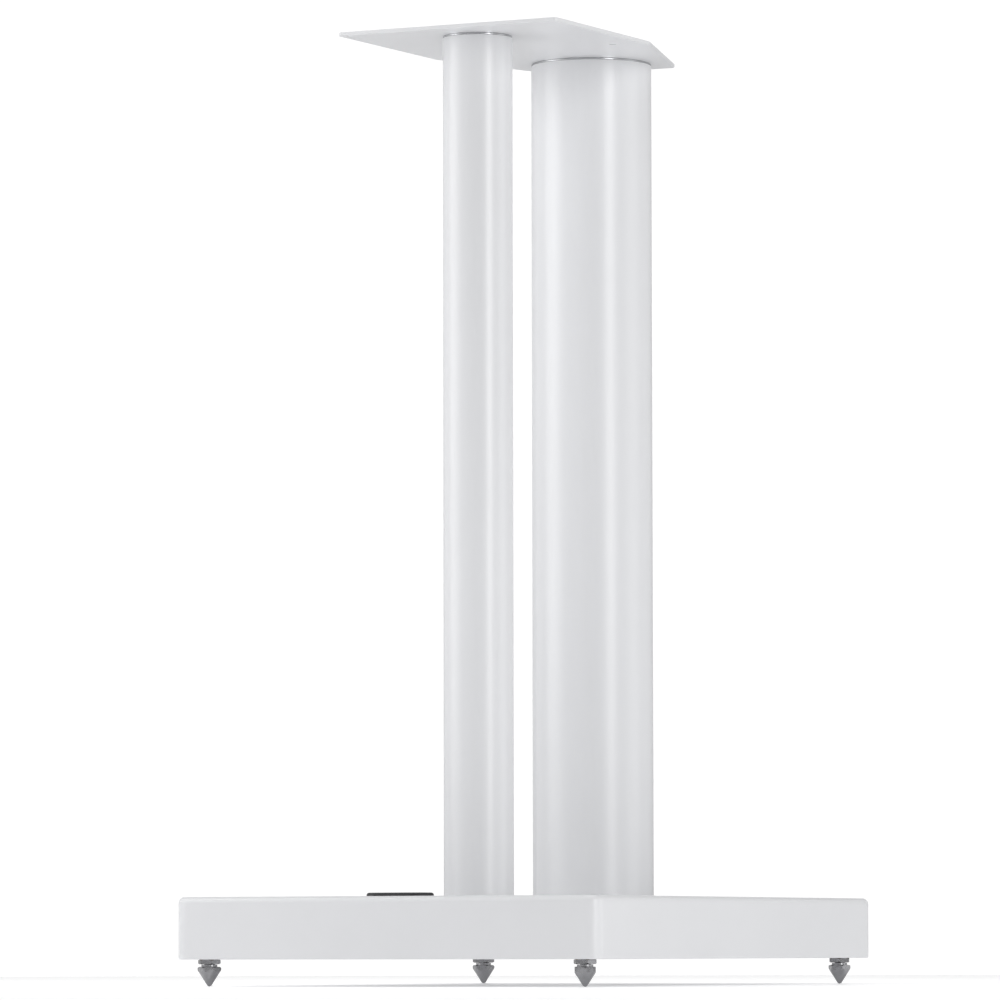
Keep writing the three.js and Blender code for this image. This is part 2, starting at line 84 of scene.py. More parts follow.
camera = bpy.data.objects.new("Camera", bpy.data.cameras.new("Camera"))
bpy.context.scene.collection.objects.link(camera)
camera.data.lens = CAMERA_LENS_MM
camera.matrix_world = (
    Matrix.Translation(around(CAMERA_BEARING, CAMERA_DISTANCE, CAMERA_HEIGHT))
    @ Matrix.Rotation(CAMERA_HEADING, 4, "Z")
    @ Matrix.Rotation(math.pi / 2 + CAMERA_TILT, 4, "X")
    @ Matrix.Rotation(CAMERA_ROLL, 4, "Z")
)
bpy.context.scene.camera = camera

# ---- Plinth ------------------------------------------------------------------------------------------
# A slab of fibreboard with rounded corners and a rounded-over top edge, routed and drilled from below,
# then sprayed all over with a satin white lacquer. The drilled holes stay bare brown board.

PLINTH_CORNER = 10 * MM
PLINTH_ROUNDOVER = 4 * MM
PLINTH_ARRIS = 0.8 * MM  # small round edge along the bottom
INSERT_HOLE_DEPTH = 26 * MM
HOLE_CHAMFER = 0.6 * MM
BOLT_HOLES = {"large": 4.2 * MM, "small": 3.2 * MM}  # radii round the shanks
COUNTERBORE_GAP = 1 * MM  # round a washer in its counterbore
CABLE_SLOT = (37.4 * MM, 14.4 * MM)
OVERSHOOT = 2 * MM  # how far a cutter runs past the face that it opens
SMALL_SEGMENTS = 40  # round a small hole
BOLT_SEGMENTS = 48  # round a bolt, a washer or a screw
TOUCH = 1e-6  # heights closer than this are the same
WELD = 1e-7  # vertices closer than this are one
SHARP_ANGLE = math.radians(35)

CORNERS = ["rear_left", "rear_right", "front_left", "front_right"]
COLUMN_BOLTS = {"large": 3, "small": 2}


class Signal:
    """One output of a shader node. Arithmetic on signals and numbers adds the Math nodes for it."""

    def __init__(self, finish, socket):
        self.finish = finish
        self.socket = socket

    def maths(self, operation, first, second):
        return self.finish.node("ShaderNodeMath", {"operation": operation}, {0: first, 1: second})

    def __add__(self, other):
        return self.maths("ADD", self, other)

    def __mul__(self, other):
        return self.maths("MULTIPLY", self, other)

    __radd__ = __add__
    __rmul__ = __mul__


class Finish:
    """A material round one Principled shader. Its constants are set on the shader's own sockets."""

    def __init__(self, name, **constants):
        self.material = bpy.data.materials.new(name)
        self.material.use_nodes = True
        self.tree = self.material.node_tree
        self.shader = self.tree.nodes["Principled BSDF"]
        for socket, value in constants.items():
            self.shader.inputs[socket.replace("_", " ")].default_value = value
        self.place = self.node("ShaderNodeTexCoord", output="Object")

    def node(self, kind, settings=None, inputs=None, output=0):
        """Adds a node: its settings first, then its sockets' values or links. Returns one output."""
        made = self.tree.nodes.new(kind)
        for setting, value in (settings or {}).items():
            setattr(made, setting, value)
        for socket, value in (inputs or {}).items():
            if isinstance(value, Signal):
                self.tree.links.new(value.socket, made.inputs[socket])
            else:
                made.inputs[socket].default_value = value
        return Signal(self, made.outputs[output])

    def feed(self, socket, signal):
        self.tree.links.new(signal.socket, self.shader.inputs[socket])

    def stretched(self, scale, centre=(0, 0, 0)):
        """Object coordinates counted from a centre and scaled along each axis."""
        offset = [-a * b for a, b in zip(centre, scale)]
        inputs = {"Vector": self.place, "Location": offset, "Scale": scale}
        return self.node("ShaderNodeMapping", inputs=inputs)

    def noise(self, size, detail=2, place=None):
        """Smooth noise round 0.5, with blotches of about this size in metres."""
        inputs = {"Vector": place or self.place, "Scale": 1 / size, "Detail": detail}
        return self.node("ShaderNodeTexNoise", inputs=inputs, output="Fac")

    def blend(self, amount, first, second):
        """A colour between two others. A Mix node's colours are its inputs 6 and 7 and its output 2."""
        return self.node("ShaderNodeMix", {"data_type": "RGBA"}, {0: amount, 6: first, 7: second}, output=2)

    def relief(self, height, depth):
        """Raises the surface where the height signal is high, by depth metres for one unit of it."""
        bump = self.node("ShaderNodeBump", inputs={"Strength": 1.0, "Distance": depth, "Height": height})
        self.feed("Normal", bump)


def bare_solid(name, bm):
    """Turns a bmesh into an object with its place in its mesh."""
    bmesh.ops.recalc_face_normals(bm, faces=bm.faces)
    mesh = bpy.data.meshes.new(name)
    bm.to_mesh(mesh)
    bm.free()
    piece = bpy.data.objects.new(name, mesh)
    bpy.context.scene.collection.objects.link(piece)
    return piece


def turned(bm, profile, segments, centre=(0, 0), closed=False):
    """Spins (radius, height) points once round an upright axis. A closed profile makes a ring."""
    x, y = centre
    points = [bm.verts.new((x + radius, y, height)) for radius, height in profile]
    edges = [bm.edges.new(pair) for pair in zip(points, points[1:])]
    if closed:
        edges.append(bm.edges.new((points[-1], points[0])))
    bmesh.ops.spin(
        bm, geom=points + edges, cent=(x, y, 0), axis=UP, angle=2 * math.pi, steps=segments, use_merge=True
    )
    bmesh.ops.remove_doubles(bm, verts=bm.verts, dist=WELD)


def box_shape(bm, low, high):
    size = Matrix.Diagonal((*(high - low), 1))
    bmesh.ops.create_cube(bm, size=1, matrix=Matrix.Translation((low + high) / 2) @ size)


def flat_outline(bm, corners, height, radius, segments):
    """One flat face with rounded corners."""
    face = bm.faces.new([bm.verts.new((x, y, height)) for x, y in corners])
    corner_arcs = bmesh.ops.bevel(
        bm, geom=face.verts[:], offset=radius, segments=segments, affect="VERTICES", profile=0.5, material=-1
    )
    return corner_arcs["verts"][0].link_faces[0]


def oblong_face(bm, width, depth, centre, height):
    """A flat face with round ends."""
    sides = [(-1, -1), (1, -1), (1, 1), (-1, 1)]
    corners = [(centre[0] + x * width / 2, centre[1] + y * depth / 2) for x, y in sides]
    face = flat_outline(bm, corners, height, depth / 2, segments=14)
    bmesh.ops.remove_doubles(bm, verts=face.verts[:], dist=TOUCH)
    return face


def raised(bm, face, lift):
    """Extrudes a face straight up or down into a solid."""
    moved = bmesh.ops.extrude_face_region(bm, geom=[face])["geom"]
    bmesh.ops.translate(bm, verts=[v for v in moved if isinstance(v, bmesh.types.BMVert)], vec=UP * lift)


def rounded(bm, radius, segments, edges):
    """Rounds edges over. The radius gives way where two of them would meet."""
    shape = {"affect": "EDGES", "profile": 0.5, "material": -1, "clamp_overlap": True}
    bmesh.ops.bevel(bm, geom=edges, offset=radius, segments=segments, **shape)


def level_edges(bm, height):
    """The edges that lie at one height."""
    return [e for e in bm.edges if all(abs(v.co.z - height) < TOUCH for v in e.verts)]


def carve(piece, tools):
    """Takes the closed shapes in a bmesh away from a piece for good."""
    cutter = bare_solid("cutter", tools)
    carving = piece.modifiers.new("Carve", "BOOLEAN")
    carving.object = cutter
    bpy.context.view_layer.update()
    depsgraph = bpy.context.evaluated_depsgraph_get()
    carved = bpy.data.meshes.new_from_object(piece.evaluated_get(depsgraph))
    piece.modifiers.clear()
    piece.data = carved
    bpy.data.objects.remove(cutter)


def finish_piece(piece, body, slot, finish, *nodes):
    """Shades a piece smooth between its sharp edges, and puts it on its CAD body in place of its nodes."""
    if not piece.data.materials:
        piece.data.materials.append(finish.material)
    piece.data.shade_smooth()
    piece.data.set_sharp_from_angle(angle=SHARP_ANGLE)
    flat_faces = piece.modifiers.new("Flat faces", "WEIGHTED_NORMAL")
    flat_faces.keep_sharp = True
    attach(piece, body)
    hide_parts(*nodes)


def centre_of(node):
    low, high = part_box(node)
    return (low + high) / 2


lacquer = Finish("satin_white_lacquer", IOR=1.5)
haze = lacquer.noise(60 * MM, detail=3)
lacquer.feed("Base Color", lacquer.blend(haze, (0.675, 0.68, 0.695, 1), (0.705, 0.71, 0.725, 1)))
lacquer.feed("Roughness", lacquer.noise(60 * MM, detail=1) * 0.05 + 0.29)
lacquer.relief(lacquer.noise(9 * MM, detail=1), 0.002 * MM)

board = Finish("bare_fibreboard", Roughness=0.9)
board.feed(
    "Base Color",
    board.blend(board.noise(0.7 * MM, detail=4), (0.22, 0.14, 0.075, 1), (0.36, 0.25, 0.145, 1)),
)
board.relief(board.noise(0.4 * MM, detail=4), 0.1 * MM)

plinth_low, plinth_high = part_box("base_plinth")
bm = bmesh.new()
box_shape(bm, plinth_low, plinth_high)
upright_edges = [e for e in bm.edges if abs(e.verts[0].co.z - e.verts[1].co.z) > TOUCH]
rounded(bm, PLINTH_CORNER, 16, upright_edges)
rounded(bm, PLINTH_ROUNDOVER, 8, level_edges(bm, plinth_high.z))
rounded(bm, PLINTH_ARRIS, 3, level_edges(bm, plinth_low.z))
plinth = bare_solid("plinth", bm)

holes = bmesh.new()
for corner in CORNERS:
    insert_low, insert_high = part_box(f"spike_insert_{corner}")
    radius = (insert_high.x - insert_low.x) / 2
    place = centre_of(f"spike_insert_{corner}").xy
    top = plinth_low.z + INSERT_HOLE_DEPTH
    turned(
        holes,
        [
            (0, plinth_low.z - OVERSHOOT),
            (radius + HOLE_CHAMFER, plinth_low.z - OVERSHOOT),
            (radius + HOLE_CHAMFER, plinth_low.z),
            (radius, plinth_low.z + HOLE_CHAMFER),
            (radius, top),
            (0, top + radius / 2),
        ],
        SMALL_SEGMENTS,
        place,
    )
for column, count in COLUMN_BOLTS.items():
    for number in range(1, count + 1):
        washer_low, washer_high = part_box(f"bolt_washer_{column}_{number}")
        radius = (washer_high.x - washer_low.x) / 2 + COUNTERBORE_GAP
        shank = BOLT_HOLES[column]
        turned(
            holes,
            [
                (0, plinth_low.z - OVERSHOOT),
                (radius + HOLE_CHAMFER, plinth_low.z - OVERSHOOT),
                (radius + HOLE_CHAMFER, plinth_low.z),
                (radius, plinth_low.z + HOLE_CHAMFER),
                (radius, washer_high.z),
                (shank, washer_high.z),
                (shank, plinth_high.z + OVERSHOOT),
                (0, plinth_high.z + OVERSHOOT),
            ],
            BOLT_SEGMENTS,
            centre_of(f"bolt_washer_{column}_{number}").xy,
        )
slot_face = oblong_face(holes, *CABLE_SLOT, centre_of("cable_grommet").xy, plinth_low.z - OVERSHOOT)
raised(holes, slot_face, plinth_high.z - plinth_low.z + 2 * OVERSHOOT)
carve(plinth, holes)

plinth.data.materials.clear()
plinth.data.materials.append(lacquer.material)
plinth.data.materials.append(board.material)
for face in plinth.data.polygons:
    x, y, z = face.center
    in_thickness = plinth_low.z + HOLE_CHAMFER < z < plinth_high.z - PLINTH_ROUNDOVER
    off_the_sides = abs(x) < plinth_high.x - PLINTH_ARRIS and abs(y) < plinth_high.y - PLINTH_ARRIS
    at_corner = abs(x) > plinth_high.x - PLINTH_CORNER and abs(y) > plinth_high.y - PLINTH_CORNER
    if in_thickness and off_the_sides and not at_corner:
        face.material_index = 1
finish_piece(plinth, "stand", "plinth_lacquer", lacquer, "base_plinth")

# ---- Threaded inserts --------------------------------------------------------------------------------
# Brass bushes pressed into the drilled holes, turned from bar. They show only past the nuts, from below.

brass = Finish("turned_brass", Metallic=1.0)
brass.feed(
    "Base Color",
    brass.blend(brass.noise(3 * MM), (0.66, 0.50, 0.24, 1), (0.78, 0.62, 0.33, 1)),
)
brass.feed("Roughness", brass.noise(1 * MM) * 0.2 + 0.22)
for corner in CORNERS:
    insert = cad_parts[f"spike_insert_{corner}"]
    insert.data.materials.clear()
    insert.data.materials.append(brass.material)

# ---- Feet --------------------------------------------------------------------------------------------
# Each foot is an M8 stud in the insert, a thin lock nut under the plinth, and a spike turned from hexagonal
# bar, whose flats run out into the cone in arcs. All three are steel, plated with a dark satin nickel.

THREAD_MAJOR = 4 * MM
THREAD_MINOR = 3.25 * MM
THREAD_PITCH = 1.25 * MM
HEX_FLATS = 13 * MM
HEX_CHAMFER = math.radians(30)
NUT_BORE = 4.1 * MM
CONE_HALF_ANGLE = math.radians(32.5)
TIP_RADIUS = 1.8 * MM
NECK_HEIGHT = 1.4 * MM
NECK_RADIUS = 5.1 * MM
NUT_CLEARANCE = 0.05 * MM
THREAD_SEGMENTS = 32
TIP_STEP = math.radians(10)
LATHE_MARKS = (60, 60, 9000)  # marks a metre along each axis: long round the piece, fine along it
HEAD_TURNS = {"rear_left": 58, "rear_right": 27, "front_left": 10, "front_right": 17}
NUT_TURNS = {"rear_left": 8, "rear_right": 12, "front_left": 53, "front_right": 15}


def slice_off(bm, point, outwards):
    """Cuts everything beyond a plane off, and closes the cut with one flat face."""
    cut = bmesh.ops.bisect_plane(
        bm, geom=bm.verts[:] + bm.edges[:] + bm.faces[:], plane_co=point, plane_no=outwards, clear_outer=True
    )
    rim = [e for e in cut["geom_cut"] if isinstance(e, bmesh.types.BMEdge)]
    bmesh.ops.holes_fill(bm, edges=rim)


def threaded_rod(bm, centre, low, high):
    """A thread: a column of tooth points, swept up by a pitch in one turn, and cut flat at both ends."""
    x, y = centre
    tooth = [(THREAD_MAJOR, 0), (THREAD_MAJOR, 1 / 8), (THREAD_MINOR, 7 / 16), (THREAD_MINOR, 11 / 16)]
    teeth = math.ceil((high - low) / THREAD_PITCH) + 2
    points = [
        bm.verts.new((x + radius, y, low + (number - 1 + share) * THREAD_PITCH))
        for number in range(teeth)
        for radius, share in tooth
    ]
    edges = [bm.edges.new(pair) for pair in zip(points, points[1:])]
    bmesh.ops.spin(
        bm,
        geom=points + edges,
        cent=(x, y, 0),
        axis=UP,
        dvec=UP * THREAD_PITCH / THREAD_SEGMENTS,
        angle=2 * math.pi,
        steps=THREAD_SEGMENTS,
    )
    bmesh.ops.remove_doubles(bm, verts=bm.verts, dist=TOUCH)
    slice_off(bm, (x, y, low), -UP)
    slice_off(bm, (x, y, high), UP)


def cut_flats(bm, centre, turn):
    """Cuts the six flats of a hexagonal bar on a turned blank."""
    for side in range(6):
        angle = turn + math.radians(60 * side + 30)
        outwards = Vector((math.cos(angle), math.sin(angle), 0))
        slice_off(bm, Vector((*centre, 0)) + outwards * HEX_FLATS / 2, outwards)


def nickel_finish(name, centre):
    """Dark satin nickel over turning marks, fine rings round the piece's own axis."""
    nickel = Finish(name, Metallic=1.0)
    rings = nickel.noise(1, detail=3, place=nickel.stretched(LATHE_MARKS, (*centre, 0)))
    cloud = nickel.noise(4 * MM)
    nickel.feed("Base Color", nickel.blend(cloud, (0.25, 0.25, 0.26, 1), (0.33, 0.33, 0.34, 1)))
    nickel.feed("Roughness", rings * 0.10 + cloud * 0.06 + 0.12)
    nickel.relief(rings, 0.012 * MM)
    return nickel


HEX_CORNER_RADIUS = HEX_FLATS / math.sqrt(3)
CHAMFER_DROP = (HEX_CORNER_RADIUS - HEX_FLATS / 2) * math.tan(HEX_CHAMFER)

tip_end = math.pi / 2 - CONE_HALF_ANGLE
tip_angles = [TIP_STEP * step for step in range(math.ceil(tip_end / TIP_STEP))] + [tip_end]
tip_profile = [(TIP_RADIUS * math.sin(angle), TIP_RADIUS * (1 - math.cos(angle))) for angle in tip_angles]
edge_radius, edge_height = tip_profile[-1]
cone_top = edge_height + (HEX_CORNER_RADIUS - edge_radius) / math.tan(CONE_HALF_ANGLE)

for corner in CORNERS:
    place = centre_of(f"spike_stud_{corner}").xy
    nickel = nickel_finish(f"satin_nickel_{corner}", place)

    stud_low, stud_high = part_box(f"spike_stud_{corner}")
    bm = bmesh.new()
    threaded_rod(bm, place, stud_low.z, stud_high.z)
    stud = bare_solid(f"stud_{corner}", bm)
    finish_piece(stud, f"stud_{corner}", "spike_steel", nickel, f"spike_stud_{corner}")

    nut_low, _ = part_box(f"lock_nut_{corner}")
    nut_top = plinth_low.z - NUT_CLEARANCE
    bm = bmesh.new()
    turned(
        bm,
        [
            (NUT_BORE, nut_low.z),
            (HEX_FLATS / 2, nut_low.z),
            (HEX_CORNER_RADIUS, nut_low.z + CHAMFER_DROP),
            (HEX_CORNER_RADIUS, nut_top - CHAMFER_DROP),
            (HEX_FLATS / 2, nut_top),
            (NUT_BORE, nut_top),
        ],
        72,
        place,
        closed=True,
    )
    cut_flats(bm, place, math.radians(NUT_TURNS[corner]))
    nut = bare_solid(f"nut_{corner}", bm)
    finish_piece(nut, f"nut_{corner}", "nut_steel", nickel, f"lock_nut_{corner}")

    _, head_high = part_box(f"spike_head_{corner}")
    collar_top = head_high.z - NECK_HEIGHT
    bm = bmesh.new()
    turned(
        bm,
        tip_profile
        + [
            (HEX_CORNER_RADIUS, cone_top),
            (HEX_CORNER_RADIUS, collar_top - CHAMFER_DROP),
            (HEX_FLATS / 2, collar_top),
            (NECK_RADIUS, collar_top),
            (NECK_RADIUS, head_high.z),
            (NUT_BORE, head_high.z),
            (NUT_BORE, stud_low.z - NUT_CLEARANCE),
            (0, stud_low.z - NUT_CLEARANCE),
        ],
        96,
        place,
    )
    cut_flats(bm, place, math.radians(HEAD_TURNS[corner]))
    head = bare_solid(f"spike_{corner}", bm)
    finish_piece(head, f"head_{corner}", "spike_steel", nickel, f"spike_head_{corner}")

# ---- Columns -----------------------------------------------------------------------------------------
# Two drawn steel tubes with turned steel plugs welded in their ends, sprayed with satin white paint. Screws
# come up from the plinth into the bottom plugs, so the tubes stand straight on the lacquer.

TUBE_WALLS = {"large": 2.5 * MM, "small": 2 * MM}
TUBE_EDGE = 0.4 * MM
TUBE_SEGMENTS = 128

paint = Finish("satin_white_paint", IOR=1.5)
paint_haze = paint.noise(80 * MM)
paint.feed("Base Color", paint.blend(paint_haze, (0.70, 0.705, 0.72, 1), (0.73, 0.735, 0.75, 1)))
paint.feed("Roughness", paint.noise(60 * MM, detail=1) * 0.04 + 0.27)
paint.relief(paint.noise(9 * MM, detail=1), 0.0015 * MM)

for column, wall in TUBE_WALLS.items():
    low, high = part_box(f"{column}_tube")
    ring_low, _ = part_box(f"{column}_trim_ring")
    outer = (high.x - low.x) / 2
    bm = bmesh.new()
    turned(
        bm,
        [
            (outer - wall, plinth_high.z),
            (outer, plinth_high.z),
            (outer, ring_low.z),
            (outer - wall, ring_low.z),
        ],
        TUBE_SEGMENTS,
        centre_of(f"{column}_tube").xy,
        closed=True,
    )
    rounded(bm, TUBE_EDGE, 3, level_edges(bm, plinth_high.z) + level_edges(bm, ring_low.z))
    tube = bare_solid(f"{column}_column", bm)
    finish_piece(tube, "stand", "column_paint", paint, f"{column}_tube")

plug_steel = Finish("turned_steel", Metallic=1.0)
plug_steel.feed(
    "Base Color", plug_steel.blend(plug_steel.noise(5 * MM), (0.42, 0.42, 0.43, 1), (0.52, 0.52, 0.53, 1))
)
plug_steel.feed("Roughness", plug_steel.noise(0.6 * MM) * 0.2 + 0.25)
for column in TUBE_WALLS:
    for end in ("bottom", "top"):
        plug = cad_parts[f"{column}_{end}_plug"]
        plug.data.materials.clear()
        plug.data.materials.append(plug_steel.material)

# ---- Trim rings --------------------------------------------------------------------------------------
# A thin polished chrome ring is trapped between the top of each tube and the plate, a hair narrower than the
# tube, so that it shows as a bright line.

RING_WIDTH = 3 * MM
RING_EDGE = 0.3 * MM
POLISHING_LINES = (30, 30, 12000)

plate_low, plate_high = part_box("top_plate")
for column in TUBE_WALLS:
    low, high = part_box(f"{column}_trim_ring")
    centre = centre_of(f"{column}_trim_ring")
    chrome = Finish(f"polished_chrome_{column}", Metallic=1.0)
    lines = chrome.noise(1, detail=2, place=chrome.stretched(POLISHING_LINES, centre))
    chrome.feed("Base Color", chrome.blend(lines, (0.50, 0.505, 0.52, 1), (0.58, 0.585, 0.60, 1)))
    chrome.feed("Roughness", lines * 0.08 + 0.2)
    outer = (high.x - low.x) / 2
    bm = bmesh.new()
    turned(
        bm,
        [
            (outer - RING_WIDTH, low.z),
            (outer, low.z),
            (outer, plate_low.z),
            (outer - RING_WIDTH, plate_low.z),
        ],
        TUBE_SEGMENTS,
        centre.xy,
        closed=True,
    )
    rounded(bm, RING_EDGE, 4, level_edges(bm, low.z) + level_edges(bm, plate_low.z))
    trim = bare_solid(f"{column}_ring", bm)
    finish_piece(trim, "stand", "trim_polish", chrome, f"{column}_trim_ring")

# ---- Base bolts and washers --------------------------------------------------------------------------
# Socket-head cap screws with knurled heads, three M8 and two M6, pull the columns down on the plinth from
# counterbores under it, each on a flat washer. Bright zinc plate.

BOLTS = {
    "large": {"shank": 4 * MM, "head": 6.5 * MM, "head_height": 8 * MM, "socket": 6 * MM},
    "small": {"shank": 3 * MM, "head": 5 * MM, "head_height": 6 * MM, "socket": 5 * MM},
}
BOLT_SOCKET_DEPTH = 3 * MM
SCREW_EDGE = 0.35 * MM
KNURL_LAND = 0.1 * MM
KNURL_DEPTH = 0.15 * MM
SHORTEST_KNURL = 1 * MM
WASHER_GAP = 0.2 * MM
WASHER_EDGE = 0.2 * MM
CREASE = 1.0  # radians: a sharper bend than this between two faces is an edge of the shape

zinc = Finish("bright_zinc", Metallic=1.0)
zinc.feed(
    "Base Color", zinc.blend(zinc.noise(2 * MM, detail=4), (0.52, 0.53, 0.56, 1), (0.66, 0.67, 0.68, 1))
)
zinc.feed("Roughness", zinc.noise(0.8 * MM, detail=4) * 0.25 + 0.2)


def hex_key_hole(bm, flats, centre, low, high):
    """A hexagonal cutter for the hole that a hex key goes in."""
    radius = flats / math.sqrt(3)
    middle = Matrix.Translation((*centre, (low + high) / 2))
    bmesh.ops.create_cone(
        bm, cap_ends=True, segments=6, radius1=radius, radius2=radius, depth=high - low, matrix=middle
    )


def knurl(bm, centre, radius):
    """Presses straight grooves into the side of a screw's head."""
    side = []
    for face in bm.faces:
        upright = abs(face.normal.z) < 0.1
        outermost = (face.calc_center_median().xy - centre).length > radius * 0.98
        if upright and outermost and face.calc_area() > SHORTEST_KNURL**2:
            side.append(face)
    bmesh.ops.inset_individual(bm, faces=side, thickness=KNURL_LAND, depth=-KNURL_DEPTH, use_even_offset=True)


for column, bolt in BOLTS.items():
    for number in range(1, COLUMN_BOLTS[column] + 1):
        bolt_node = f"base_bolt_{column}_{number}"
        washer_node = f"bolt_washer_{column}_{number}"
        low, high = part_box(bolt_node)
        place = centre_of(bolt_node).xy
        seat = low.z + bolt["head_height"]
        bm = bmesh.new()
        turned(
            bm,
            [
                (0, low.z),
                (bolt["head"], low.z),
                (bolt["head"], seat),
                (bolt["shank"], seat),
                (bolt["shank"], high.z),
                (0, high.z),
            ],
            BOLT_SEGMENTS,
            place,
        )
        rim = [e for e in level_edges(bm, low.z) if e.calc_face_angle(0) > CREASE]
        rounded(bm, SCREW_EDGE, 3, rim)
        bmesh.ops.recalc_face_normals(bm, faces=bm.faces)
        knurl(bm, place, bolt["head"])
        screw = bare_solid(f"cap_screw_{column}_{number}", bm)
        key_hole = bmesh.new()
        hex_key_hole(key_hole, bolt["socket"], place, low.z - OVERSHOOT, low.z + BOLT_SOCKET_DEPTH)
        carve(screw, key_hole)
        finish_piece(screw, "stand", "screw_steel", zinc, bolt_node)

        low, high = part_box(washer_node)
        bm = bmesh.new()
        bore = bolt["shank"] + WASHER_GAP
        outer = (high.x - low.x) / 2
        section = [(bore, low.z), (outer, low.z), (outer, high.z), (bore, high.z)]
        turned(bm, section, BOLT_SEGMENTS, place, closed=True)
        rounded(bm, WASHER_EDGE, 2, level_edges(bm, low.z) + level_edges(bm, high.z))
        washer = bare_solid(f"washer_{column}_{number}", bm)
        finish_piece(washer, "stand", "screw_steel", zinc, washer_node)

# ---- Cable grommet -----------------------------------------------------------------------------------
# One moulding in black rubber: a flange with a rounded rim laps over the slot in the plinth, and a sleeve
# lines its top. The cable drops through it.

GROMMET_FLANGE = 4 * MM
GROMMET_WALL = 3 * MM
GROMMET_RIM = 1.6 * MM
GROMMET_LIP = 0.9 * MM

rubber = Finish("moulded_black_rubber", IOR=1.52)
rubber.feed(
    "Base Color",
    rubber.blend(rubber.noise(12 * MM, detail=3), (0.010, 0.010, 0.012, 1), (0.022, 0.022, 0.025, 1)),
)
rubber.feed("Roughness", rubber.noise(3 * MM) * 0.15 + 0.5)
rubber.relief(rubber.noise(0.5 * MM, detail=3), 0.03 * MM)


def level_face(bm, height):
    """The largest face that lies at one height."""
    lying = [f for f in bm.faces if all(abs(v.co.z - height) < TOUCH for v in f.verts)]
    return max(lying, key=lambda face: face.calc_area())


def inset(bm, height, width):
    """Insets the face at one height, and returns the face that is left inside."""
    face = level_face(bm, height)
    bmesh.ops.inset_region(bm, faces=[face], thickness=width, use_even_offset=True)
    return face


low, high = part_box("cable_grommet")
place = centre_of("cable_grommet").xy
bm = bmesh.new()
flange = oblong_face(bm, high.x - low.x, high.y - low.y, place, plinth_high.z)
raised(bm, flange, high.z - plinth_high.z)
rounded(bm, GROMMET_RIM, 6, level_edges(bm, high.z))
sleeve = inset(bm, plinth_high.z, GROMMET_FLANGE)
raised(bm, sleeve, low.z - plinth_high.z)
top_mouth = inset(bm, high.z, GROMMET_FLANGE + GROMMET_WALL - GROMMET_RIM)
mouths = [top_mouth, inset(bm, low.z, GROMMET_WALL)]
mouth_edges = [e for mouth in mouths for e in mouth.edges]
bmesh.ops.delete(bm, geom=mouths, context="FACES_ONLY")
bmesh.ops.bridge_loops(bm, edges=mouth_edges)
lip = [e for e in mouth_edges if e.is_valid and abs(e.verts[0].co.z - high.z) < TOUCH]
rounded(bm, GROMMET_LIP, 4, lip)
grommet = bare_solid("grommet", bm)
finish_piece(grommet, "stand", "black_rubber", rubber, "cable_grommet")

# ---- Top plate ---------------------------------------------------------------------------------------
# Laser-cut steel plate with its edges eased, in the same satin white. It narrows towards the front, is
# countersunk over the columns, and has a hole at each side for a screw up into the loudspeaker.

PLATE_STRAIGHT_LENGTH = 134 * MM
PLATE_FRONT_WIDTH = 84 * MM
PLATE_CORNER = 2 * MM
PLATE_EDGE = 0.35 * MM
SPEAKER_HOLE_RADIUS = 2.5 * MM
SPEAKER_HOLE_X = 59.5 * MM
SPEAKER_HOLE_SETBACK = 15 * MM
SCREW_HEAD = 4.8 * MM
SCREW_SHANK = 2.5 * MM
SCREW_GAP = 0.2 * MM

low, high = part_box("top_plate")
shoulder = high.y - PLATE_STRAIGHT_LENGTH
front = PLATE_FRONT_WIDTH / 2
outline = [
    (-front, low.y),
    (front, low.y),
    (high.x, shoulder),
    (high.x, high.y),
    (low.x, high.y),
    (low.x, shoulder),
]
bm = bmesh.new()
raised(bm, flat_outline(bm, outline, low.z, PLATE_CORNER, 6), high.z - low.z)
rounded(bm, PLATE_EDGE, 3, level_edges(bm, low.z) + level_edges(bm, high.z))
plate = bare_solid("speaker_plate", bm)

holes = bmesh.new()
for side in (-1, 1):
    turned(
        holes,
        [
            (0, low.z - OVERSHOOT),
            (SPEAKER_HOLE_RADIUS, low.z - OVERSHOOT),
            (SPEAKER_HOLE_RADIUS, high.z + OVERSHOOT),
            (0, high.z + OVERSHOOT),
        ],
        SMALL_SEGMENTS,
        (side * SPEAKER_HOLE_X, shoulder + SPEAKER_HOLE_SETBACK),
    )
plate_screws = [f"{column}_{number + 1}" for column, count in COLUMN_BOLTS.items() for number in range(count)]
for name in plate_screws:
    bore = SCREW_SHANK + SCREW_GAP
    mouth = SCREW_HEAD + SCREW_GAP
    turned(
        holes,
        [
            (0, low.z - OVERSHOOT),
            (bore, low.z - OVERSHOOT),
            (bore, high.z - SCREW_GAP - (mouth - bore)),
            (mouth, high.z - SCREW_GAP),
            (mouth, high.z + OVERSHOOT),
            (0, high.z + OVERSHOOT),
        ],
        SMALL_SEGMENTS,
        centre_of(f"plate_screw_{name}").xy,
    )
carve(plate, holes)
finish_piece(plate, "stand", "plate_paint", paint, "top_plate")

# ---- Plate screws ------------------------------------------------------------------------------------
# Countersunk M5 machine screws with a hex key hole, bright zinc, one into each tapped hole of the top plugs.

PLATE_SCREW_RIM = 0.2 * MM
PLATE_SCREW_SOCKET = 3 * MM
PLATE_SCREW_SOCKET_DEPTH = 2 * MM

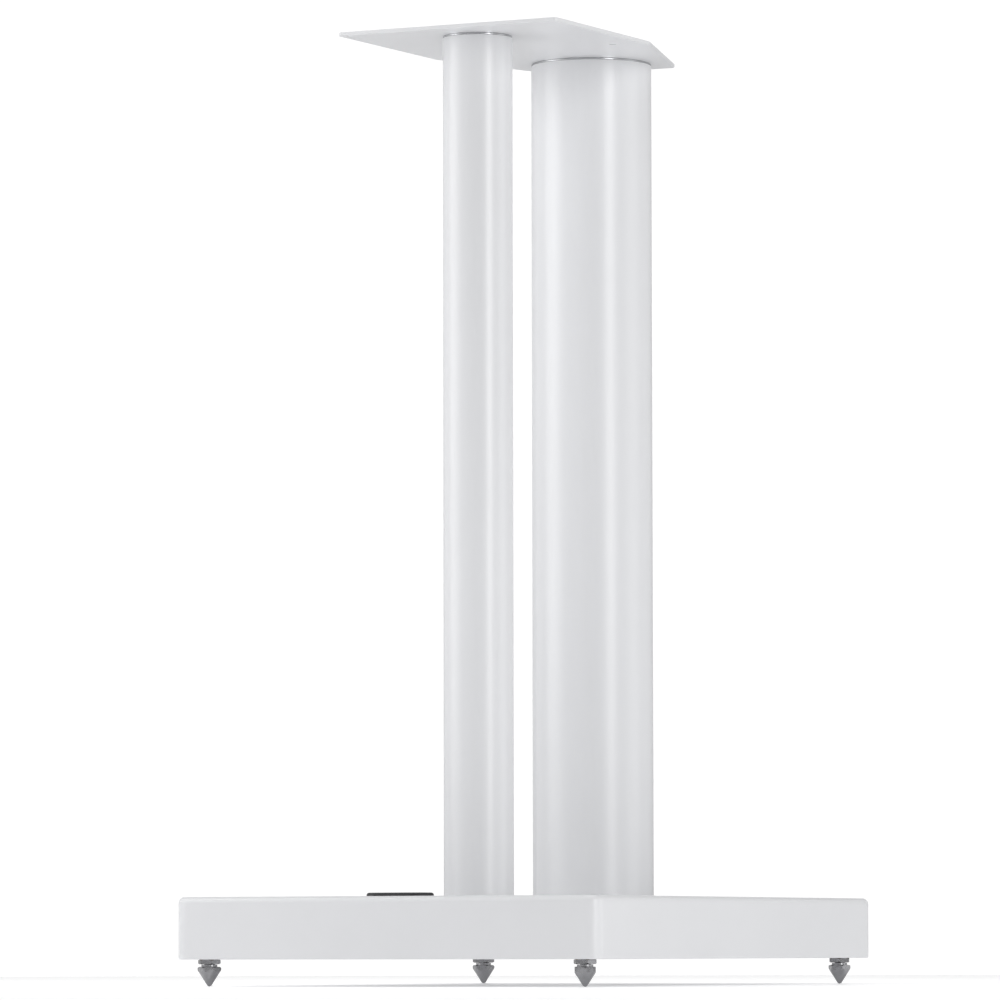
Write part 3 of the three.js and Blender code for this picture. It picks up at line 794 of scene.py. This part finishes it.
for name in plate_screws:
    node = f"plate_screw_{name}"
    low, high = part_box(node)
    place = centre_of(node).xy
    cone_top = high.z - PLATE_SCREW_RIM
    bm = bmesh.new()
    turned(
        bm,
        [
            (0, low.z),
            (SCREW_SHANK, low.z),
            (SCREW_SHANK, cone_top - (SCREW_HEAD - SCREW_SHANK)),
            (SCREW_HEAD, cone_top),
            (SCREW_HEAD, high.z),
            (0, high.z),
        ],
        BOLT_SEGMENTS,
        place,
    )
    screw = bare_solid(f"countersunk_screw_{name}", bm)
    key_hole = bmesh.new()
    hex_key_hole(key_hole, PLATE_SCREW_SOCKET, place, high.z - PLATE_SCREW_SOCKET_DEPTH, high.z + OVERSHOOT)
    carve(screw, key_hole)
    finish_piece(screw, "stand", "screw_steel", zinc, node)

# ---- Speaker pads ------------------------------------------------------------------------------------
# Four thin self-adhesive rubber discs, one at each corner of the plate, that the loudspeaker stands on.

PAD_EDGE = 0.3 * MM

for corner in CORNERS:
    node = f"speaker_pad_{corner}"
    low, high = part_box(node)
    radius = (high.x - low.x) / 2
    bm = bmesh.new()
    turned(
        bm, [(0, plate_high.z), (radius, plate_high.z), (radius, high.z), (0, high.z)], 64, centre_of(node).xy
    )
    rounded(bm, PAD_EDGE, 4, [e for e in level_edges(bm, high.z) if e.calc_face_angle(0) > CREASE])
    pad = bare_solid(f"pad_{corner}", bm)
    finish_piece(pad, "stand", "black_rubber", rubber, node)

# ---- Floor and light ---------------------------------------------------------------------------------
# A pale floor, lit a little from within as a light table is, before a lit white backdrop, in an even grey
# room. Soft lights stand round it at the sides and the back, and a large one hangs overhead.

FLOOR_RADIUS = 1.5
FLOOR_GLOW = 0.25
BACKDROP_DISTANCE = 6
BACKDROP_WIDTH = 3
BACKDROP_BOTTOM = -0.05  # just low enough to fill the view down to the floor's edge
BACKDROP_TOP = 2.5
BACKDROP_GLOW = 1.05
ROOM_GREY = 0.38

bpy.context.scene.view_settings.view_transform = "Standard"

glow = {"Emission_Color": (1, 1, 1, 1), "Emission_Strength": FLOOR_GLOW}
table = Finish("pale_floor", Roughness=0.4, **glow)
table.feed("Base Color", table.blend(table.noise(0.8), (0.84, 0.84, 0.85, 1), (0.88, 0.88, 0.885, 1)))
bm = bmesh.new()
bmesh.ops.create_circle(bm, cap_ends=True, segments=96, radius=FLOOR_RADIUS)
floor = bare_solid("floor", bm)
floor.data.materials.append(table.material)

glow = {"Emission_Color": (1, 1, 1, 1), "Emission_Strength": BACKDROP_GLOW}
screen = Finish("lit_backdrop", Roughness=1, Base_Color=(0, 0, 0, 1), **glow)
bm = bmesh.new()
bmesh.ops.create_grid(bm, x_segments=1, y_segments=1, size=0.5)
shape = Matrix.Diagonal((BACKDROP_WIDTH, BACKDROP_TOP - BACKDROP_BOTTOM, 1, 1))
upright = Matrix.Rotation(CAMERA_HEADING, 4, "Z") @ Matrix.Rotation(math.pi / 2, 4, "X")
middle = around(CAMERA_BEARING + math.pi, BACKDROP_DISTANCE, (BACKDROP_BOTTOM + BACKDROP_TOP) / 2)
bmesh.ops.transform(bm, matrix=Matrix.Translation(middle) @ upright @ shape, verts=bm.verts)
backdrop = bare_solid("backdrop", bm)
backdrop.data.materials.append(screen.material)

room = bpy.data.worlds.new("Grey room")
room.use_nodes = True
room.node_tree.nodes["Background"].inputs["Color"].default_value = (ROOM_GREY, ROOM_GREY, ROOM_GREY, 1)
bpy.context.scene.world = room


def softbox(name, bearing, distance, height, size, watts):
    """A rectangular soft light, aimed at the middle of the stand, at a bearing from the camera's."""
    light = bpy.data.lights.new(name, "AREA")
    light.shape = "RECTANGLE"
    light.size, light.size_y = size
    light.energy = watts
    lamp = bpy.data.objects.new(name, light)
    lamp.visible_camera = False
    bpy.context.scene.collection.objects.link(lamp)
    place = around(CAMERA_BEARING + math.radians(bearing), distance, height)
    aim = Vector((0, 0, (cad_box[0].z + cad_box[1].z) / 2)) - place
    lamp.matrix_world = Matrix.Translation(place) @ aim.to_track_quat("-Z", "Y").to_matrix().to_4x4()


softbox("Left light", -88, 1.0, 0.7, (0.5, 1.2), 5.4)
softbox("Left fill", -70, 1.8, 0.75, (0.6, 1.3), 4.4)
softbox("Left back light", -125, 1.6, 0.5, (0.8, 1.4), 1.2)
softbox("Right strip", 36, 2.2, 0.8, (0.7, 1.4), 18.5)
softbox("Right fill", 85, 1.6, 0.5, (0.8, 1.4), 3.6)
softbox("Right back light", 130, 1.6, 0.5, (0.8, 1.4), 0.8)
softbox("Top light", 0, 0.01, 2.2, (1.2, 1.2), 11)
